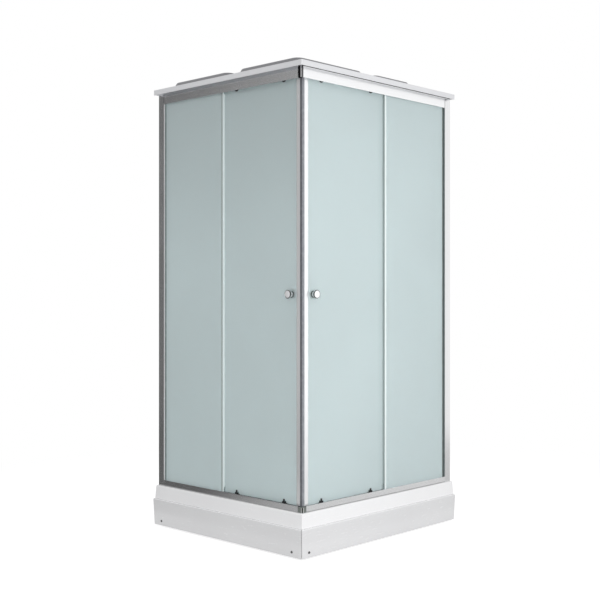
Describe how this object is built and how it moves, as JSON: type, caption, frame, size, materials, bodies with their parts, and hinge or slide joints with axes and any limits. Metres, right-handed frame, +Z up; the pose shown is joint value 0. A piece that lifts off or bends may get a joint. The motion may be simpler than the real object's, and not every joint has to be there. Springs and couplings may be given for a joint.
{
  "type": "shower cabin",
  "caption": "Square corner-entry shower cabin: white tray and roof, aluminium frame, frosted fixed panes and sliding doors that meet in the front corner.",
  "frame": {"origin": "on the floor under the middle of the square footprint", "axes": "+Z up; the doors meet in the front corner at +X -Y, the back panels are at -X and +Y"},
  "size_m": [1, 1, 2.049],
  "materials": {
    "tray_acrylic": "glossy white sanitary acrylic",
    "roof_acrylic": "glossy white moulded acrylic",
    "panel_acrylic": "glossy white sheet",
    "satin_aluminium": "satin anodised, fine brushing along the profile",
    "frosted_glass": "satin frosted safety glass, pale green-grey",
    "bright_chrome": "polished chrome plate",
    "frame_steel": "zinc plated steel",
    "dark_screw": "blackened",
    "black_rubber": "matt",
    "grey_gasket": "matt dark grey",
    "magnet_rubber": "matt grey",
    "clear_seal": "milky flexible vinyl",
    "black_plastic": "fine grained black moulding",
    "joint_plastic": "grey-green moulding",
    "wheel_nylon": "turned nylon",
    "trap_plastic": "white moulding"
  },
  "bodies": {
    "root": {"tray_basin": "tray_acrylic", "apron_left": "tray_acrylic", "apron_right": "tray_acrylic", "apron_screws": "dark_screw", "tray_frame": "frame_steel", "levelling_rods": "frame_steel", "foot_pads": "black_rubber", "waste_trap": "trap_plastic", "waste_grille": "bright_chrome", "bottom_corner_joint": "joint_plastic", "top_corner_joint": "black_plastic", "roof": "roof_acrylic", "end_post_left": "satin_aluminium", "end_post_right": "satin_aluminium", "rear_corner_profile": "satin_aluminium", "back_panel_left": "panel_acrylic", "back_panel_right": "panel_acrylic", "top_rail_left": "satin_aluminium", "top_rail_right": "satin_aluminium", "bottom_rail_left": "satin_aluminium", "bottom_rail_right": "satin_aluminium", "fixed_glass_left": "frosted_glass", "fixed_glass_right": "frosted_glass", "fixed_glass_seal_left": "clear_seal", "fixed_glass_seal_right": "clear_seal", "glass_gasket_left": "grey_gasket", "glass_gasket_right": "grey_gasket", "glass_clips_left": "black_plastic", "glass_clips_right": "black_plastic", "mixer_body": "bright_chrome", "riser_pipe": "bright_chrome"},
    "door_left": {"door_glass_left": "frosted_glass", "closing_profile_left": "satin_aluminium", "magnet_seal_left": "magnet_rubber", "overlap_seal_left": "clear_seal", "door_knob_left": "bright_chrome", "top_hangers_left": "black_plastic", "guide_housings_left": "black_plastic"},
    "top_wheel_left_front": {"top_wheel_left_front": "wheel_nylon"},
    "guide_button_left_front": {"guide_button_left_front": "black_plastic"},
    "guide_wheel_left_front": {"guide_wheel_left_front": "wheel_nylon"},
    "top_wheel_left_rear": {"top_wheel_left_rear": "wheel_nylon"},
    "guide_button_left_rear": {"guide_button_left_rear": "black_plastic"},
    "guide_wheel_left_rear": {"guide_wheel_left_rear": "wheel_nylon"},
    "door_right": {"door_glass_right": "frosted_glass", "closing_profile_right": "satin_aluminium", "magnet_seal_right": "magnet_rubber", "overlap_seal_right": "clear_seal", "door_knob_right": "bright_chrome", "top_hangers_right": "black_plastic", "guide_housings_right": "black_plastic"},
    "top_wheel_right_front": {"top_wheel_right_front": "wheel_nylon"},
    "guide_button_right_front": {"guide_button_right_front": "black_plastic"},
    "guide_wheel_right_front": {"guide_wheel_right_front": "wheel_nylon"},
    "top_wheel_right_rear": {"top_wheel_right_rear": "wheel_nylon"},
    "guide_button_right_rear": {"guide_button_right_rear": "black_plastic"},
    "guide_wheel_right_rear": {"guide_wheel_right_rear": "wheel_nylon"},
    "flow_handle": {"flow_handle": "bright_chrome"},
    "temperature_handle": {"temperature_handle": "bright_chrome"},
    "shower_head": {"shower_head": "bright_chrome"}
  },
  "joints": [
    {"name": "door_left_slide", "type": "slide", "parent": "root", "child": "door_left", "axis": [-1, 0, 0], "range_m": [0, 0.389]},
    {"name": "top_wheel_left_front_spin", "type": "hinge", "parent": "door_left", "child": "top_wheel_left_front", "pos_m": [0.342, -0.4355, 1.9823], "axis": [0, -1, 0], "continuous": true},
    {"name": "guide_button_left_front_press", "type": "slide", "parent": "door_left", "child": "guide_button_left_front", "axis": [0, 0, 1], "range_m": [-0.003, 0], "stiffness_N_per_m": 600, "springref_m": 0.002},
    {"name": "guide_wheel_left_front_spin", "type": "hinge", "parent": "guide_button_left_front", "child": "guide_wheel_left_front", "pos_m": [0.342, -0.4335, 0.196], "axis": [0, 1, 0], "continuous": true},
    {"name": "top_wheel_left_rear_spin", "type": "hinge", "parent": "door_left", "child": "top_wheel_left_rear", "pos_m": [0.04, -0.4355, 1.9823], "axis": [0, -1, 0], "continuous": true},
    {"name": "guide_button_left_rear_press", "type": "slide", "parent": "door_left", "child": "guide_button_left_rear", "axis": [0, 0, 1], "range_m": [-0.003, 0], "stiffness_N_per_m": 600, "springref_m": 0.002},
    {"name": "guide_wheel_left_rear_spin", "type": "hinge", "parent": "guide_button_left_rear", "child": "guide_wheel_left_rear", "pos_m": [0.04, -0.4335, 0.196], "axis": [0, 1, 0], "continuous": true},
    {"name": "door_right_slide", "type": "slide", "parent": "root", "child": "door_right", "axis": [0, 1, 0], "range_m": [0, 0.389]},
    {"name": "top_wheel_right_front_spin", "type": "hinge", "parent": "door_right", "child": "top_wheel_right_front", "pos_m": [0.4355, -0.342, 1.9823], "axis": [-1, 0, 0], "continuous": true},
    {"name": "guide_button_right_front_press", "type": "slide", "parent": "door_right", "child": "guide_button_right_front", "axis": [0, 0, 1], "range_m": [-0.003, 0], "stiffness_N_per_m": 600, "springref_m": 0.002},
    {"name": "guide_wheel_right_front_spin", "type": "hinge", "parent": "guide_button_right_front", "child": "guide_wheel_right_front", "pos_m": [0.4335, -0.342, 0.196], "axis": [1, 0, 0], "continuous": true},
    {"name": "top_wheel_right_rear_spin", "type": "hinge", "parent": "door_right", "child": "top_wheel_right_rear", "pos_m": [0.4355, -0.04, 1.9823], "axis": [-1, 0, 0], "continuous": true},
    {"name": "guide_button_right_rear_press", "type": "slide", "parent": "door_right", "child": "guide_button_right_rear", "axis": [0, 0, 1], "range_m": [-0.003, 0], "stiffness_N_per_m": 600, "springref_m": 0.002},
    {"name": "guide_wheel_right_rear_spin", "type": "hinge", "parent": "guide_button_right_rear", "child": "guide_wheel_right_rear", "pos_m": [0.4335, -0.04, 0.196], "axis": [1, 0, 0], "continuous": true},
    {"name": "flow_handle_turn", "type": "hinge", "parent": "root", "child": "flow_handle", "pos_m": [-0.429, 0.08, 1.1], "axis": [0, 1, 0], "range_deg": [0, 100]},
    {"name": "temperature_handle_turn", "type": "hinge", "parent": "root", "child": "temperature_handle", "pos_m": [-0.429, 0.08, 1.1], "axis": [0, 1, 0], "range_deg": [-150, 40]},
    {"name": "shower_head_tilt", "type": "hinge", "parent": "root", "child": "shower_head", "pos_m": [-0.179, 0.08, 1.852], "axis": [0, 1, 0], "range_deg": [-15, 15]}
  ],
  "couplings": [
    {"joint": "top_wheel_left_front_spin", "follows": "door_left_slide", "rad_per_m": 90.909},
    {"joint": "guide_wheel_left_front_spin", "follows": "door_left_slide", "rad_per_m": 200},
    {"joint": "top_wheel_left_rear_spin", "follows": "door_left_slide", "rad_per_m": 90.909},
    {"joint": "guide_wheel_left_rear_spin", "follows": "door_left_slide", "rad_per_m": 200},
    {"joint": "top_wheel_right_front_spin", "follows": "door_right_slide", "rad_per_m": 90.909},
    {"joint": "guide_wheel_right_front_spin", "follows": "door_right_slide", "rad_per_m": 200},
    {"joint": "top_wheel_right_rear_spin", "follows": "door_right_slide", "rad_per_m": 90.909},
    {"joint": "guide_wheel_right_rear_spin", "follows": "door_right_slide", "rad_per_m": 200}
  ]
}
